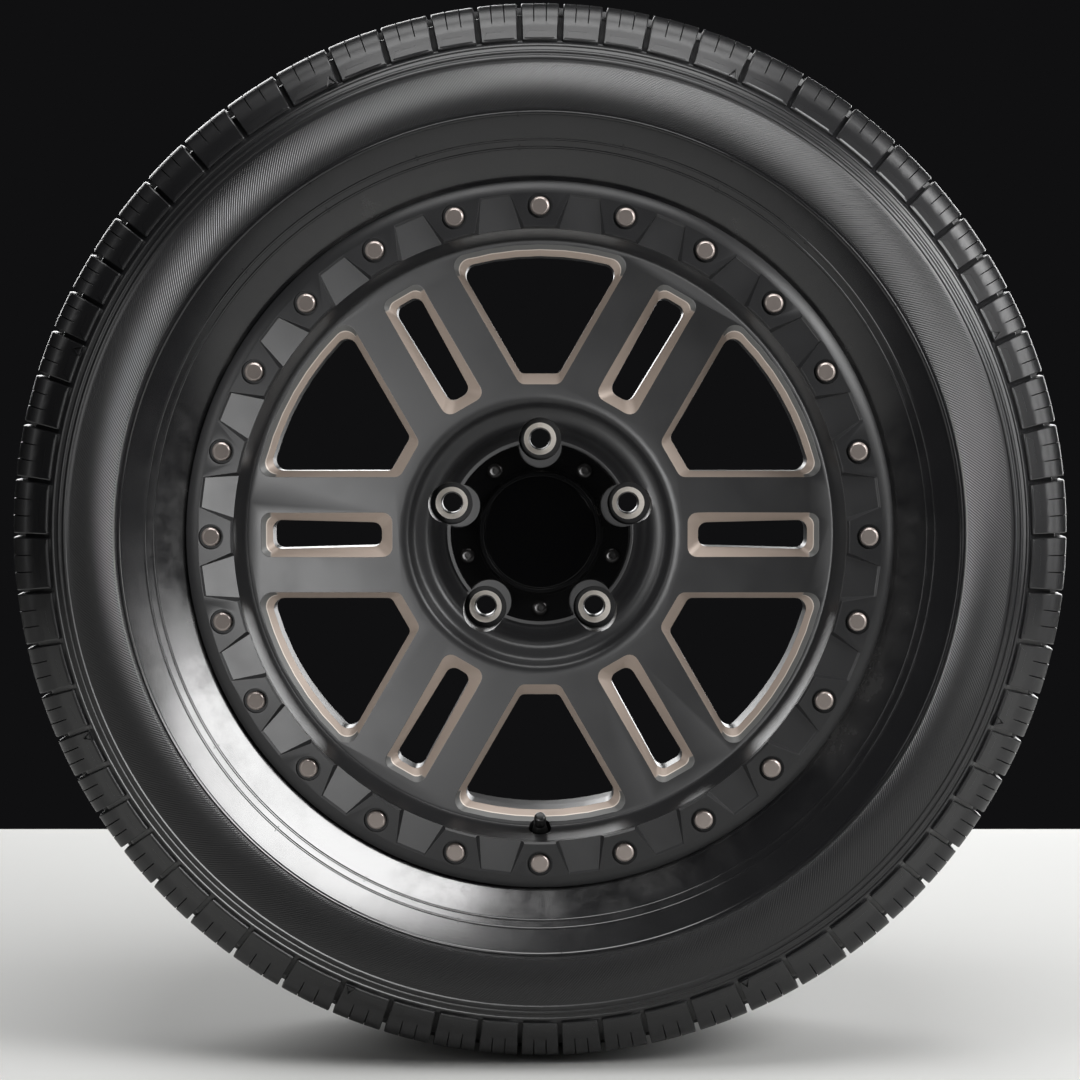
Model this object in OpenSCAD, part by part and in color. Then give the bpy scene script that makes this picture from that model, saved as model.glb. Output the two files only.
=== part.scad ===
// Mounted wheel and tyre of a large off-road car: a cast wheel with six broad spokes,
// a bolted trim ring on its outer lip, a bolt-on centre cap, a snap-in valve and an
// all-season tyre. The origin is the wheel's centre, halfway between the rim flanges.
// The wheel spins about Y and its outer face looks towards -Y. The valve is at the bottom.
// Sections are drawn as [radius, height], with the height counted towards the outer face.

/* [Tyre] */
// Outer diameter of the inflated tyre
tyre_d = 838; // [826:1:852]
// Width across the widest part of the sidewalls
section_w = 284; // [278:1:292]
// Share of the sidewall's height at which it is widest
bulge_share = 0.616; // [0.54:0.002:0.68]
// Width across the lower ends of the shoulder blocks
shoulder_w = 256; // [250:1:262]
// Distance from the tread down to the lower ends of the shoulder blocks
shoulder_h = 38.5; // [34:0.5:42]
// Width of the tread between its edges
tread_w = 216; // [208:1:222]
// Radius of the tread across its width
crown_r = 900; // [700:10:1400]
// Thickness of the tyre under the tread, blocks included
crown_t = 20; // [17:0.5:24]
// Thickness of the sidewall
side_t = 9.5; // [8:0.5:12]
// Width of each bead on its seat
bead_w = 18.5; // [16:0.5:19.5]
// Height above the flanges at which the beads' thick feet end
apex_h = 33; // [29:1:38]

/* [Tread] */
// Depth of the grooves
tread_depth = 9; // [7:0.5:11]
// Width of the grooves that run round the tyre
groove_w = 9.5; // [7:0.5:12]
// Distance of the inner pair of grooves from the middle
inner_groove_z = 21; // [17:0.5:26]
// Distance of the outer pair of grooves from the middle
outer_groove_z = 64; // [58:0.5:70]
// Number of shoulder blocks round each edge
block_count = 66; // [54:1:72]
// Width of the slots between the shoulder blocks
slot_w = 3.6; // [2.5:0.1:5]
// Share by which the blocks' lengths vary round the tyre
pitch_change = 0.16; // [0:0.01:0.22]
// Height that the shoulder blocks stand proud of the sidewall
block_step = 1.6; // [1:0.1:2.5]
// Width of the slanted slots in the ribs between the grooves
rib_slot_w = 2.6; // [1.6:0.1:3.2]
// Depth of the slots in the ribs
rib_slot_depth = 6; // [4:0.5:6.5]
// Angle at which the slots lie across the ribs
rib_slot_slant = 24; // [0:1:32]

/* [Sidewall ribs] */
// Share of the sidewall's height at which the inner fine rib runs
fine_rib_share = 0.3; // [0.27:0.002:0.34]
// Distance between the two fine ribs
fine_rib_gap = 6; // [4:0.5:8]
// Share of the sidewall's height at which the band's lower border runs
band_low_share = 0.489; // [0.46:0.001:0.52]
// Distance from the lower ends of the blocks to the band's upper border
band_high_drop = 13.5; // [12.5:0.5:16]
// Distance from the lower ends of the blocks to the first rib below them
foot_rib_drop = 3.5; // [3:0.1:4.2]
// Distance between the two ribs below the blocks
foot_rib_gap = 5.5; // [4.5:0.1:6]
// Width of a border rib
rib_w = 2.4; // [1.6:0.2:3.2]
// Height of a border rib
rib_t = 0.9; // [0.5:0.1:1.5]
// Width of a fine rib
fine_rib_w = 1.6; // [1.2:0.1:2]
// Height of a fine rib
fine_rib_t = 0.6; // [0.4:0.1:1]

/* [Rim] */
// Diameter of the bead seats
rim_d = 508; // [500:1:514]
// Width between the flanges
rim_w = 228.6; // [222:0.1:234]
// Height of the flanges above the bead seats
flange_h = 17.3; // [16:0.1:19]
// Thickness of the flanges
flange_t = 12; // [11:0.5:14]
// Radius of the flange's curl
curl_r = 9.5; // [8:0.5:10.5]
// Radius between bead seat and flange
heel_r = 6.5; // [5:0.5:7]
// Width of a bead seat
seat_w = 19.8; // [19.6:0.1:21]
// Depth of the well below the bead seats
well_drop = 23; // [20:0.5:26]
// Height at which the well's inner wall starts
well_z = 38; // [30:1:46]
// Depth of the barrel below the bead seats
barrel_drop = 12; // [10:0.5:14]
// Wall of the barrel
barrel_t = 6.5; // [5.5:0.5:8]

/* [Face] */
// Depth of the spoke face behind the rim's outer lip
face_drop = 27; // [24:0.5:30]
// Width of the step between the trim ring and the spoke face
face_gap = 6.5; // [5:0.5:8]
// Thickness of the spokes at the barrel
spoke_t = 32.3; // [29:0.1:37]
// Half width of a spoke on the face
spoke_half_w = 45.4; // [42:0.2:48]
// Metal between the window tops and the edge of the spoke face
window_margin = 3.5; // [3:0.5:8]
// Metal between the dish and the windows' inner edge
window_gap = 12; // [8:0.5:18]
// Radius of the windows' outer corners
window_corner_r = 9.5; // [8:0.5:12]
// Radius of the windows' inner corners
window_tip_r = 7; // [6:0.5:9]
// Depth of the bevels round windows and slots
bevel_depth = 8; // [6:0.5:10]
// Width of the bevels along the spokes
bevel_side_w = 4.8; // [4:0.2:6]
// Width of the bevels across the spokes
bevel_end_w = 8.6; // [7:0.2:10]
// Metal between the dish and the slots' inner end
slot_gap = 10; // [8:0.5:16]
// Metal between the slots' outer end and the edge of the spoke face
slot_margin = 11.5; // [9:0.5:18]
// Half width of the slots on the face
slot_half_w = 17.4; // [16:0.2:19]
// Radius of the slots' corners
slot_corner_r = 7.5; // [6:0.5:9]

/* [Hub] */
// Distance of the mounting face from the wheel's middle
wheel_offset = 18; // [14:1:24]
// Thickness of the hub between mounting face and cap seat
pad_t = 32; // [30:0.5:36]
// Metal between the lug holes and the edge of the mounting face
pad_margin = 3; // [2:0.5:5]
// Diameter of the centre bore
bore_d = 110.1; // [106:0.1:111]
// Depth of the centre bore
bore_depth = 20; // [16:0.5:22]
// Diameter of the cap seat at the bottom of the dish
pad_d = 146; // [145:0.5:150]
// Width of the dish's wall between the cap seat and the second shoulder
ledge_w = 17; // [15:0.5:19]
// Depth of the second shoulder behind the spoke face
ledge_drop = 13; // [10:0.5:16]
// Width of the dish's wall between the second shoulder and the spoke face
dish_w = 16; // [14:0.5:18]

/* [Lug holes] */
// Number of lug holes
lug_count = 5; // [5:1:6]
// Diameter of the circle through the lug holes
lug_circle_d = 150; // [146:0.5:152]
// Diameter of the hole for the stud
lug_hole_d = 16; // [14:0.5:17]
// Diameter of the cone seat at its mouth
lug_seat_d = 26; // [24:0.5:28]
// Diameter of the socket pocket
lug_pocket_d = 34; // [31:0.5:35]
// Depth of the socket pocket below the cap seat
lug_pocket_drop = 7; // [4:0.5:10]

/* [Trim ring] */
// Width of the ring between its edges
ring_w = 37; // [36:0.5:38]
// How far the ring reaches past the rim flange
ring_reach = 2.7; // [2.4:0.1:3.4]
// Thickness of the ring at its inner edge
ring_t = 9.7; // [9:0.1:11]
// Angle at which the ring's lands fall outwards
land_tilt = 9.5; // [8:0.5:11]
// Width of the sloping outer lip
lip_w = 9.5; // [8:0.5:11]
// Number of bolts and pockets
bolt_count = 24; // [18:1:24]
// Distance from the ring's inner edge to the bolt circle
bolt_inset = 17; // [16:0.5:18]
// Thickness of the ring under its pockets
pocket_floor_t = 4.2; // [3.5:0.1:4.8]
// Width of a pocket's floor at the inner edge
pocket_in_w = 32.5; // [28:0.5:36]
// Width of a pocket's floor at its outer end
pocket_out_w = 23; // [18:0.5:26]
// Distance from the ring's inner edge to the pocket's outer end
pocket_len = 25; // [23:0.5:26]
// How far a pocket's side walls lean outwards for each mm of their height
side_lean = 0.55; // [0.3:0.05:0.8]
// How far a pocket's end wall leans outwards for each mm of its height
end_lean = 1.6; // [1:0.1:1.8]
// Width of the chamfer round the ring's inner edge
ring_chamfer = 2; // [1:0.1:2.5]

/* [Ring bolts] */
// Diameter of a bolt's head
bolt_head_d = 14.8; // [12:0.2:15.4]
// Height of a bolt's head
bolt_head_h = 4.2; // [3:0.1:5]
// Diameter of a bolt's shank
bolt_d = 6; // [5:0.5:7]
// Length of the shank that enters the rim
bolt_grip = 8; // [7:0.5:8.5]
// Gap between a bolt's head and its counterbore
head_gap = 2.3; // [1.4:0.1:2.5]

/* [Centre cap] */
// Gap between the cap's flange and the wall round its seat
cap_gap = 1; // [0.5:0.1:2]
// Thickness of the cap's flange
cap_flange_t = 4; // [3:0.5:5]
// Diameter of the raised collar
collar_d = 99; // [96:0.5:102]
// Height of the collar above the flange
collar_h = 9; // [7:0.5:12]
// Wall of the collar
collar_t = 4.4; // [3.5:0.1:5]
// Diameter of the cap's spigot in the hub
spigot_d = 100; // [96:0.5:101]
// Depth of the spigot
spigot_h = 8; // [6:0.5:10]
// Radius of the scallops beside the lug holes
scallop_r = 17.4; // [17:0.1:17.8]
// How much nearer to the axis the scallops are than the lug holes
scallop_in = 6; // [5:0.1:6.2]
// Thickness of the cap's disc
disc_t = 5; // [4:0.5:6]
// How far the disc lies below the collar's rim
disc_drop = 0.8; // [0.4:0.1:1.5]
// Distance from the collar to the circle through the cap screws
cap_screw_out = 11.5; // [10:0.5:12]
// Diameter of a cap screw's head
cap_screw_head_d = 13; // [10:0.5:13.5]
// Height of a cap screw's head
cap_screw_head_h = 3.4; // [2.8:0.1:4]
// Depth to which the heads sink into the flange
cap_screw_sink = 1; // [0.6:0.1:1.4]
// Height of the straight edge of a head
cap_screw_edge = 0.6; // [0.4:0.1:1]
// Diameter of a cap screw's shank
cap_screw_d = 6; // [5:0.5:6.5]
// Length of a cap screw's shank
cap_screw_len = 14; // [12:0.5:15]
// Width across the flats of the screw sockets
socket_w = 4; // [3:0.5:5]
// Depth of the screw sockets
socket_depth = 2.2; // [1.6:0.1:2.6]

/* [Valve] */
// Angle between the valve and the wheel's axis
valve_tilt = 36; // [34:0.5:38]
// Depth of the valve hole below the bead seats
valve_drop = 11.3; // [10.8:0.1:12.5]
// Distance of the valve hole behind the rim's outer edge
valve_behind = 26.8; // [25.8:0.1:27.5]
// Diameter of the valve hole
valve_hole_d = 11.5; // [10.5:0.1:12]
// Thickness of the rim at the valve hole
valve_wall = 4; // [3.6:0.1:4.4]
// Diameter of the valve's pocket in the wheel
valve_pocket_d = 17.6; // [17:0.1:18]
// Length of the valve's pocket
valve_pocket_len = 45; // [42:1:50]
// Diameter of the valve's foot inside the rim
valve_foot_d = 19; // [17:0.5:20]
// Largest diameter of the rubber stem
rubber_d = 15.2; // [14:0.2:15.8]
// Length of the rubber stem
rubber_len = 26.5; // [24:0.5:28]
// Length of the whole stem from the rim
stem_len = 38; // [37:0.5:40]
// Diameter of the stem's thread
stem_d = 7.7; // [7.2:0.1:8]
// Diameter of the stem inside the rubber
stem_low_d = 6; // [5.6:0.1:6.4]
// Diameter of the core's head
core_d = 5.2; // [5:0.1:5.4]
// Diameter of the core's pin
pin_d = 1; // [0.9:0.05:1.1]
// Travel of the core's pin
pin_travel = 1.5; // [1:0.1:2]
// Outer diameter of the valve cap
valve_cap_d = 9.4; // [9.2:0.1:10]
// Thickness of the valve cap's end
valve_cap_end = 1.3; // [1:0.1:1.8]

/* [Hidden] */

// Facets of large and small rounds
big_fn = 144;
small_fn = 32;
// Running gap between metal parts that fit
fit = 0.05;
// Overshoot of cuts
over = 1;

tyre_r = tyre_d / 2;
rim_r = rim_d / 2;
half_w = rim_w / 2;
flange_r = rim_r + flange_h;
lip_z = half_w + flange_t;
well_r = rim_r - well_drop;
barrel_r = rim_r - barrel_drop;
ring_out_r = flange_r + ring_reach;
ring_in_r = ring_out_r - ring_w;
bolt_circle_r = ring_in_r + bolt_inset;
face_z = lip_z - face_drop;
face_r = ring_in_r - face_gap;
spoke_back_z = face_z - spoke_t;
pad_z = wheel_offset + pad_t;
pad_r = pad_d / 2;
ledge_r = pad_r + ledge_w;
ledge_z = face_z - ledge_drop;
dish_r = ledge_r + dish_w;
lug_circle_r = lug_circle_d / 2;
lug_z = pad_z - lug_pocket_drop;
pad_back_r = lug_circle_r + lug_hole_d / 2 + pad_margin;
valve_r = rim_r - valve_drop;
valve_z = half_w - valve_behind;
seat_taper = 5;

function mirrored(points) = [for (i = [len(points) - 1 : -1 : 0]) [points[i][0], -points[i][1]]];
function arc(centre, r, from, to, steps) = [
    for (i = [0 : steps])
        let (a = from + (to - from) * i / steps)
            [centre[0] + r * cos(a), centre[1] + r * sin(a)]
];
function bend(start, corner, end, steps) = [
    for (i = [0 : steps])
        let (t = i / steps)
            start * (1 - t) * (1 - t) + corner * 2 * t * (1 - t) + end * t * t
];

// Turns a part drawn with its outer face upwards so that the face looks towards -Y
module upright() {
    rotate([90, 0, 0]) children();
}

module turned(points) {
    rotate_extrude($fn = big_fn) polygon(points);
}

module turned_small(points) {
    rotate_extrude($fn = small_fn) polygon(points);
}

module ring_of(count, first = 0) {
    for (i = [0 : count - 1])
        rotate([0, 0, first + i * 360 / count]) children();
}

// Solid between two outlines with as many points, one above the other
module skin(low, high, z_low, z_high) {
    n = len(low);
    points = concat([for (p = low) [p[0], p[1], z_low]], [for (p = high) [p[0], p[1], z_high]]);
    sides = [for (i = [0 : n - 1]) let (j = (i + 1) % n) each [[i, n + j, j], [i, n + i, n + j]]];
    floor_face = [for (i = [0 : n - 1]) i];
    roof_face = [for (i = [n - 1 : -1 : 0]) n + i];
    polyhedron(points = points, faces = concat([floor_face, roof_face], sides));
}

// Rim and tyre share this line: flange face, heel and tapered seat
function seat_r(w) = rim_r - (w - heel_r) * tan(seat_taper);
function bead_line(w) = concat(
    [[flange_r - curl_r, half_w]],
    arc([rim_r + heel_r, half_w - heel_r], heel_r, 90, 180, 5),
    [[seat_r(w), half_w - w]]
);

// Tyre
foot_r = tyre_r - shoulder_h;
liner_low_r = flange_r + apex_h;
foot_z = shoulder_w / 2;
leave_r = flange_r - 1.4;
wall_h = foot_r - leave_r;
bulge_r = leave_r + bulge_share * wall_h;
bulge_z = section_w / 2;
band_low_r = leave_r + band_low_share * wall_h;
band_high_r = foot_r - band_high_drop;
fine_rib_r = leave_r + fine_rib_share * wall_h;
leave_z = half_w + 2.6;
edge_z = tread_w / 2;

function crown(z) = tyre_r - (crown_r - sqrt(crown_r * crown_r - z * z));
function side_z(r) = r > bulge_r
    ? bulge_z - (bulge_z - foot_z) * pow((r - bulge_r) / (foot_r - bulge_r), 2)
    : bulge_z - (bulge_z - leave_z) * pow((bulge_r - r) / (bulge_r - leave_r), 2);
function groove(z) = [
    [crown(z - groove_w / 2), z - groove_w / 2],
    [crown(z) - tread_depth, z - groove_w / 2 + 1.6],
    [crown(z) - tread_depth, z + groove_w / 2 - 1.6],
    [crown(z + groove_w / 2), z + groove_w / 2]
];
function rib(r, w = rib_w, t = rib_t) = [
    [r + w / 2, side_z(r + w / 2)],
    [r + w / 3, side_z(r) + t],
    [r - w / 3, side_z(r) + t],
    [r - w / 2, side_z(r - w / 2)]
];
function side_run(from, to, steps) = [
    for (i = [0 : steps])
        let (r = from + (to - from) * i / steps)
            [r, side_z(r)]
];

function tyre_outside() = concat(
    [[crown(0), 0]],
    groove(inner_groove_z),
    [[crown((inner_groove_z + outer_groove_z) / 2), (inner_groove_z + outer_groove_z) / 2]],
    groove(outer_groove_z),
    bend([crown(edge_z - 10), edge_z - 10],
         [crown(edge_z) - 1, edge_z + 4],
         [foot_r + shoulder_h / 2 - 3, foot_z + block_step - shoulder_h / 3], 6),
    [[foot_r + 1, foot_z + block_step], [foot_r - 0.6, side_z(foot_r)]],
    rib(foot_r - foot_rib_drop),
    rib(foot_r - foot_rib_drop - foot_rib_gap),
    rib(band_high_r, 3.2),
    side_run(band_high_r - 6, band_low_r + 5, 5),
    rib(band_low_r),
    rib(fine_rib_r + fine_rib_gap, fine_rib_w, fine_rib_t),
    rib(fine_rib_r, fine_rib_w, fine_rib_t),
    side_run(fine_rib_r - 6, leave_r, 5)
);
function tyre_inside() = [
    [seat_r(bead_w) + 3.5, half_w - bead_w - 2.2],
    [flange_r - 1, half_w - bead_w],
    [flange_r + 19, half_w - 4],
    for (i = [0 : 6])
        let (r = liner_low_r + (foot_r - 8 - liner_low_r) * i / 6)
            [r, side_z(r) - side_t],
    [tyre_r - crown_t - 9, edge_z - 4],
    [tyre_r - crown_t - 2, edge_z * 0.8],
    [tyre_r - crown_t, edge_z * 0.6],
    [tyre_r - crown_t, 0]
];
function tyre_half() = concat(tyre_outside(), bead_line(bead_w), tyre_inside());
function tyre_section() =
    let (half = tyre_half(), last = len(half) - 1)
        concat(half, [for (i = [last - 1 : -1 : 1]) [half[i][0], -half[i][1]]]);

// Blocks are long and short by turns, so that the tyre hums less on the road
pitch_waves = 6;
function block_angle(i) =
    let (a = 360 * i / block_count)
        a + pitch_change / pitch_waves * 180 / PI * sin(pitch_waves * a);

module shoulder_slots() {
    profile = [
        [tyre_r - tread_depth, outer_groove_z],
        [tyre_r - tread_depth - 6, edge_z - 8],
        [foot_r + 3, foot_z - 5],
        [foot_r - 0.3, foot_z + 1],
        [foot_r - 0.3, bulge_z + 5],
        [tyre_r + 5, bulge_z + 5],
        [tyre_r + 5, outer_groove_z]
    ];
    for (i = [0 : block_count - 1])
        rotate([90, 0, block_angle(i)])
            linear_extrude(height = slot_w, center = true) polygon(profile);
}

// Slots across one rib between its two grooves, which part it into slanted blocks
module rib_slots() {
    middle = (inner_groove_z + outer_groove_z) / 2;
    reach = (outer_groove_z - inner_groove_z) / 2 / cos(rib_slot_slant);
    for (i = [0 : block_count - 1])
        rotate([0, 90, block_angle(i)]) translate([-middle, 0, tyre_r - rib_slot_depth])
            rotate([0, 0, rib_slot_slant])
                translate([-reach, -rib_slot_w / 2, 0]) cube([2 * reach, rib_slot_w, rib_slot_depth + 5]);
}

module tyre() color([0.09, 0.09, 0.095]) upright() difference() {
    turned(tyre_section());
    shoulder_slots();
    mirror([0, 0, 1]) rotate([0, 0, 180 / block_count]) shoulder_slots();
    rib_slots();
    rotate([180, 0, 0]) rib_slots();
}

// Wheel casting
valve_slope = tan(valve_tilt);
wall_r = valve_r + valve_wall * sin(valve_tilt);
wall_z = valve_z - valve_wall * cos(valve_tilt);
hump_r = rim_r - 1.4;
hump_z = wall_z + (hump_r - wall_r) * valve_slope;
well_top_z = wall_z - (wall_r - well_r) * valve_slope;
well_in_r = well_r - barrel_t;
barrel_in_r = barrel_r - barrel_t;
barrel_rise = 3;
back_lip_r = rim_r - 7;

function outer_hump() = [
    [rim_r - 0.7, half_w - seat_w - 1.2],
    [rim_r - 0.7, half_w - seat_w - 2.8],
    [hump_r, hump_z]
];
function inner_hump() = [
    [rim_r - 0.7, half_w - seat_w - 1.2],
    [rim_r - 0.7, half_w - seat_w - 4],
    [barrel_r + barrel_rise, half_w - seat_w - 12]
];
curl_end = -75;
function flange_curl() = arc([flange_r - curl_r, half_w + curl_r], curl_r, 0, curl_end, 5);
function hub_face() = concat(
    [[bore_d / 2, wheel_offset],
     [bore_d / 2, wheel_offset + bore_depth],
     [spigot_d / 2 + fit, wheel_offset + bore_depth],
     [spigot_d / 2 + fit, pad_z],
     [pad_r, pad_z]],
    bend([pad_r + 2, pad_z], [pad_r + 6, pad_z + 1], [ledge_r - 8, pad_z + 12], 4),
    bend([ledge_r - 5, ledge_z - 9], [ledge_r - 2, ledge_z], [ledge_r + 4, ledge_z + 0.6], 5),
    bend([dish_r - 10, ledge_z + 1.4], [dish_r - 7, ledge_z + 2], [dish_r - 5, ledge_z + 5], 3),
    bend([dish_r - 3.5, face_z - 4.5], [dish_r - 2, face_z], [dish_r + 5, face_z], 5)
);
function rim_outside() = concat(
    bend([face_r - 2, face_z], [face_r + 0.4, face_z], [face_r + 1, face_z + 3], 3),
    [[ring_in_r + 0.5, lip_z], [flange_r, lip_z]],
    flange_curl(),
    bead_line(seat_w),
    outer_hump(),
    [[well_r, well_top_z], [well_r, well_z], [barrel_r, well_z - 13]],
    mirrored(concat(
        [[back_lip_r, lip_z - 3], [rim_r + 1, lip_z], [flange_r - 2, lip_z],
         [flange_r, lip_z - 2]],
        flange_curl(),
        bead_line(seat_w),
        inner_hump()
    ))
);
function rim_inside() = [
    [back_lip_r, -(half_w - seat_w)],
    [barrel_in_r + barrel_rise, -(half_w - seat_w - 12)],
    [barrel_in_r, well_z - 15],
    [well_in_r, well_z - 3],
    [well_in_r, spoke_back_z - 5],
    [well_in_r - 5, spoke_back_z],
    [dish_r + 14, spoke_back_z - 6],
    [dish_r - 2, spoke_back_z - 14],
    [dish_r - 14, wheel_offset + 16],
    [pad_back_r + 4, wheel_offset + 5],
    [pad_back_r, wheel_offset]
];

// Outlines of the windows and slots: share 0 is the edge on the face, 1 the opening below
half_spoke_angle = 30;
corner_steps = 5;
function window_outline(share) =
    let (
        w = spoke_half_w + bevel_side_w * share,
        top = face_r - window_margin - bevel_end_w * share,
        low = dish_r + window_gap + bevel_end_w * share,
        r_out = window_corner_r - share,
        r_in = window_tip_r - 1.6 * share,
        along = [cos(half_spoke_angle), sin(half_spoke_angle)],
        across = [sin(half_spoke_angle), -cos(half_spoke_angle)],
        out_a = sqrt(pow(top - r_out, 2) - pow(w + r_out, 2)),
        out_c = out_a * along + (w + r_out) * across,
        out_angle = atan2(out_c[1], out_c[0]),
        in_a = (low + r_in - (w + r_in) * across[0]) / along[0],
        in_c = in_a * along + (w + r_in) * across,
        side = 90 + half_spoke_angle,
        half = concat(
            arc(in_c, r_in, 180, side, corner_steps),
            arc(out_c, r_out, side, out_angle, corner_steps + 2)
        ),
        roof = arc([0, 0], top, -out_angle * 2 / 3, out_angle * 2 / 3, 4)
    )
    concat([for (p = half) [p[0], -p[1]]], roof, [for (i = [len(half) - 1 : -1 : 0]) half[i]]);
function slot_outline(share) =
    let (
        low = dish_r + slot_gap + bevel_end_w * share,
        top = face_r - slot_margin - bevel_end_w * share,
        w_in = slot_half_w - (bevel_side_w + 3) * share,
        w_out = slot_half_w - (bevel_side_w + 1.2) * share,
        r = slot_corner_r - 0.5 * share
    )
    concat(
        arc([low + r, r - w_in], r, -180, -90, corner_steps),
        arc([top - r, r - w_out], r, -90, 0, corner_steps),
        arc([top - r, w_out - r], r, 0, 90, corner_steps),
        arc([low + r, w_in - r], r, 90, 180, corner_steps)
    );
// Share of the bevel's depth by which its cutter runs past both ends
bevel_over = 0.15;
module bevel_cut(low, high) {
    skin(low, high, face_z - bevel_depth * (1 + bevel_over), face_z + bevel_depth * bevel_over);
}
module face_openings() {
    ring_of(6, half_spoke_angle) {
        linear_extrude(height = lip_z) polygon(window_outline(1));
        bevel_cut(window_outline(1 + bevel_over), window_outline(-bevel_over));
    }
    ring_of(6) {
        linear_extrude(height = lip_z) polygon(slot_outline(1));
        bevel_cut(slot_outline(1 + bevel_over), slot_outline(-bevel_over));
    }
}
seat_angle = 60;
lug_cone_h = (lug_seat_d - lug_hole_d) / 2 / tan(seat_angle / 2);
module lug_holes() {
    ring_of(lug_count, 90) translate([lug_circle_r, 0, 0]) {
        translate([0, 0, wheel_offset - over])
            cylinder(d = lug_hole_d, h = pad_t + 2 * over, $fn = 48);
        translate([0, 0, lug_z - lug_cone_h])
            cylinder(d1 = lug_hole_d, d2 = lug_seat_d + 2 * over * tan(seat_angle / 2),
                     h = lug_cone_h + over, $fn = 48);
        translate([0, 0, lug_z])
            cylinder(d = lug_pocket_d, h = face_z - lug_z + over, $fn = 48);
    }
}
cap_screw_first = 90 + 180 / lug_count;
cap_screw_circle_r = collar_d / 2 + cap_screw_out;
module cap_screw_holes() {
    ring_of(lug_count, cap_screw_first)
        translate([cap_screw_circle_r, 0, pad_z + cap_flange_t - cap_screw_len - over])
            cylinder(d = cap_screw_d + 2 * fit, h = cap_screw_len, $fn = 24);
}
module ring_bolt_holes() {
    ring_of(bolt_count)
        translate([bolt_circle_r, 0, lip_z - bolt_grip - over])
            cylinder(d = bolt_d + 2 * fit, h = bolt_grip + 2 * over, $fn = 24);
}
module at_valve() {
    translate([0, -valve_r, valve_z]) rotate([-valve_tilt, 0, 0]) children();
}
module valve_cuts() {
    at_valve() {
        cylinder(d = valve_pocket_d, h = valve_pocket_len, $fn = 48);
        translate([0, 0, -valve_wall - over])
            cylinder(d = valve_hole_d, h = valve_wall + 2 * over, $fn = 48);
    }
}

module wheel() color([0.15, 0.15, 0.155]) upright() difference() {
    turned(concat(hub_face(), rim_outside(), rim_inside()));
    face_openings();
    lug_holes();
    cap_screw_holes();
    ring_bolt_holes();
    valve_cuts();
}

// Trim ring
ring_top = lip_z + ring_t;
land_fall = tan(land_tilt);
crease_r = ring_out_r - lip_w;
crease_z = ring_top - (crease_r - ring_in_r) * land_fall;
skirt_z = half_w + curl_r + 0.4;
head_z = lip_z + 3;
pocket_z = lip_z + pocket_floor_t;

module ring_pocket() {
    rise = ring_t;
    in_r = ring_in_r - 3;
    end_r = ring_in_r + pocket_len;
    narrowing = (pocket_out_w - pocket_in_w) / 2 / (end_r - ring_in_r);
    in_w = pocket_in_w / 2 - 3 * narrowing;
    side_run = side_lean * rise;
    end_run = end_lean * rise;
    top_w = pocket_out_w / 2 + side_run + narrowing * end_run;
    floor_outline = [
        [in_r, -in_w], [end_r, -pocket_out_w / 2],
        [end_r, pocket_out_w / 2], [in_r, in_w]
    ];
    roof_outline = [
        [in_r, -in_w - side_run], [end_r + end_run, -top_w],
        [end_r + end_run, top_w], [in_r, in_w + side_run]
    ];
    skin(floor_outline, roof_outline, pocket_z, pocket_z + rise);
}

module trim_ring() color([0.2, 0.2, 0.205]) upright() difference() {
    turned([
        [ring_in_r, lip_z],
        [ring_in_r, ring_top - ring_chamfer],
        [ring_in_r + ring_chamfer * 0.8, ring_top - ring_chamfer * 0.1],
        [crease_r, crease_z],
        [ring_out_r - 1.6, skirt_z + 3],
        [ring_out_r, skirt_z + 1.4],
        [ring_out_r, skirt_z],
        [flange_r + 0.3, skirt_z],
        [flange_r + 0.3, lip_z]
    ]);
    ring_of(bolt_count, 180 / bolt_count) ring_pocket();
    ring_of(bolt_count) translate([bolt_circle_r, 0, 0]) {
        translate([0, 0, lip_z - over]) cylinder(d = bolt_d + 0.6, h = ring_t, $fn = 24);
        translate([0, 0, head_z]) cylinder(d = bolt_head_d + 2 * head_gap, h = ring_t, $fn = 40);
    }
}
module ring_bolts() color([0.72, 0.72, 0.72]) upright() ring_of(bolt_count)
    translate([bolt_circle_r, 0, 0]) turned_small([
        [0, lip_z - bolt_grip],
        [bolt_d / 2, lip_z - bolt_grip],
        [bolt_d / 2, head_z],
        [bolt_head_d / 2, head_z],
        [bolt_head_d / 2, head_z + bolt_head_h - 1.6],
        [bolt_head_d / 2 - 0.6, head_z + bolt_head_h - 0.8],
        [bolt_head_d / 2 - 1.8, head_z + bolt_head_h],
        [0, head_z + bolt_head_h]
    ]);

// Centre cap
cap_edge_r = pad_r - cap_gap;
cap_top = pad_z + cap_flange_t;
collar_top = cap_top + collar_h;
collar_r = collar_d / 2;
disc_r = collar_r - collar_t;
disc_z = collar_top - disc_drop - disc_t;
screw_seat_z = cap_top - cap_screw_sink;
scallop_edge = 0.8;

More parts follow.
